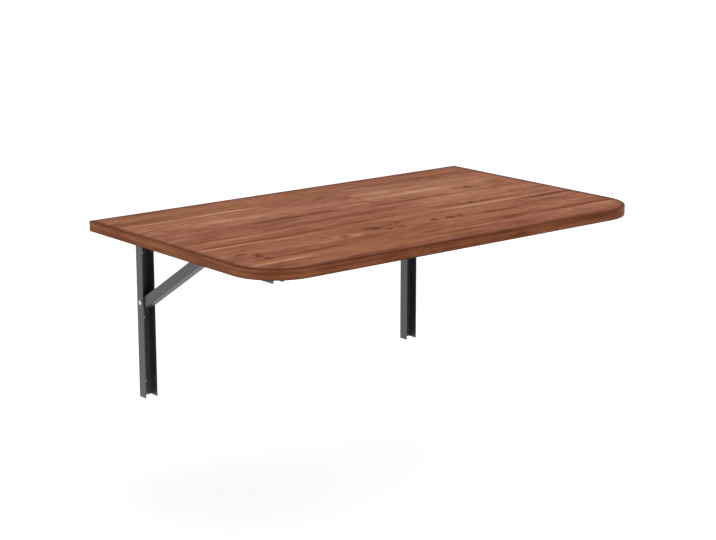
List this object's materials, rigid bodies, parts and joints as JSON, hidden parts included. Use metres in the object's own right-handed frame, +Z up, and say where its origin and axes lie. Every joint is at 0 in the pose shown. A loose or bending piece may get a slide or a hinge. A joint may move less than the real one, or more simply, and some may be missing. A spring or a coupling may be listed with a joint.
{
  "type": "wall mounted drop leaf table",
  "caption": "Wood-grain wall table on two folding steel brackets: nested channel arms and braces fold down with the top flat against the wall.",
  "frame": {"origin": "on the wall's surface, at the centre of the rectangle of the four outer wall screw holes, which is also midway between the two middle holes", "axes": "+X to the right along the wall, seen from the room; +Y into the wall; +Z up. The table is stored folded out."},
  "size_m": [1, 0.62, 0.401],
  "materials": {
    "wood_board": "walnut-grain laminate, satin",
    "edge_band": "walnut-grain edge band, satin",
    "powder_coat": "fine dark grey powder coat",
    "zinc": "bright zinc plating",
    "spring_steel": "bare spring wire",
    "nylon": "natural nylon"
  },
  "bodies": {
    "wall_frame": {"wall_rail_left": "powder_coat", "hinge_rivet_left": "powder_coat", "brace_bolt_left": "zinc", "brace_nut_left": "zinc", "brace_washers_left": "zinc", "wall_rail_right": "powder_coat", "hinge_rivet_right": "powder_coat", "brace_bolt_right": "zinc", "brace_nut_right": "zinc", "brace_washers_right": "zinc"},
    "leaf": {"table_board": "wood_board", "edge_band_front": "edge_band", "edge_band_back": "edge_band", "arm_left": "powder_coat", "catch_plate_left": "zinc", "arm_screws_left": "zinc", "arm_right": "powder_coat", "catch_plate_right": "zinc", "arm_screws_right": "zinc"},
    "strut_left": {"brace_left": "powder_coat", "glide_pin_left": "zinc", "glide_sleeve_left": "nylon", "latch_spring_left": "spring_steel"},
    "strut_right": {"brace_right": "powder_coat", "glide_pin_right": "zinc", "glide_sleeve_right": "nylon", "latch_spring_right": "spring_steel"},
    "lever_left": {"release_lever_left": "zinc"},
    "lever_right": {"release_lever_right": "zinc"}
  },
  "joints": [
    {"name": "table_fold", "type": "hinge", "parent": "wall_frame", "child": "leaf", "pos_m": [0, -0.012, 0.174], "axis": [1, 0, 0], "range_deg": [0, 90]},
    {"name": "brace_fold_left", "type": "hinge", "parent": "wall_frame", "child": "strut_left", "pos_m": [-0.365, -0.016, 0.038], "axis": [1, 0, 0], "range_deg": [0, 118.28]},
    {"name": "brace_fold_right", "type": "hinge", "parent": "wall_frame", "child": "strut_right", "pos_m": [0.365, -0.016, 0.038], "axis": [1, 0, 0], "range_deg": [0, 118.28]},
    {"name": "lever_press_left", "type": "hinge", "parent": "strut_left", "child": "lever_left", "pos_m": [-0.365, -0.27474, 0.1995], "axis": [-1, 0, 0], "range_deg": [0, 10], "stiffness_Nm_per_rad": 0.3, "springref_deg": -28.65, "deforming": ["latch_spring_left"]},
    {"name": "lever_press_right", "type": "hinge", "parent": "strut_right", "child": "lever_right", "pos_m": [0.365, -0.27474, 0.1995], "axis": [-1, 0, 0], "range_deg": [0, 10], "stiffness_Nm_per_rad": 0.3, "springref_deg": -28.65, "deforming": ["latch_spring_right"]}
  ],
  "couplings": [
    {"joint": "brace_fold_left", "follows": "table_fold", "ratio": 1.3103},
    {"joint": "brace_fold_right", "follows": "table_fold", "ratio": 1.3103}
  ]
}
